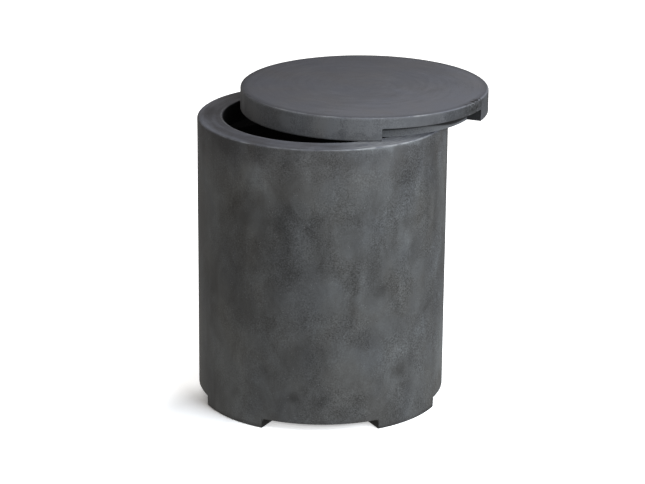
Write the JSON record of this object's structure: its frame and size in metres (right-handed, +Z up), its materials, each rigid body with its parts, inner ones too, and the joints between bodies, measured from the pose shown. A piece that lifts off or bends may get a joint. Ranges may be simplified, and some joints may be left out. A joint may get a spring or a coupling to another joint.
{
  "type": "propane tank cover table",
  "caption": "Round charcoal concrete drum on cast feet that hides a gas cylinder, with a loose round lid as a side table, pushed aside.",
  "frame": {"origin": "on the floor, under the middle of the drum", "axes": "+Z up, -Y towards the front, where the pictured camera stands, +X to its right"},
  "size_m": [0.563, 0.5404, 0.608],
  "materials": {
    "drum_concrete": "matte",
    "lid_concrete": "matte",
    "pad_rubber": "matte"
  },
  "bodies": {
    "base": {"drum": "drum_concrete", "foot_pad_right_back": "pad_rubber", "foot_pad_left_back": "pad_rubber", "foot_pad_left_front": "pad_rubber", "foot_pad_right_front": "pad_rubber"},
    "lid": {"lid": "lid_concrete"}
  },
  "joints": [
    {"name": "lid_slide", "type": "slide", "parent": "base", "child": "lid", "axis": [0.8121, 0.5835, 0], "range_m": [-0.0993, 0.03]}
  ]
}
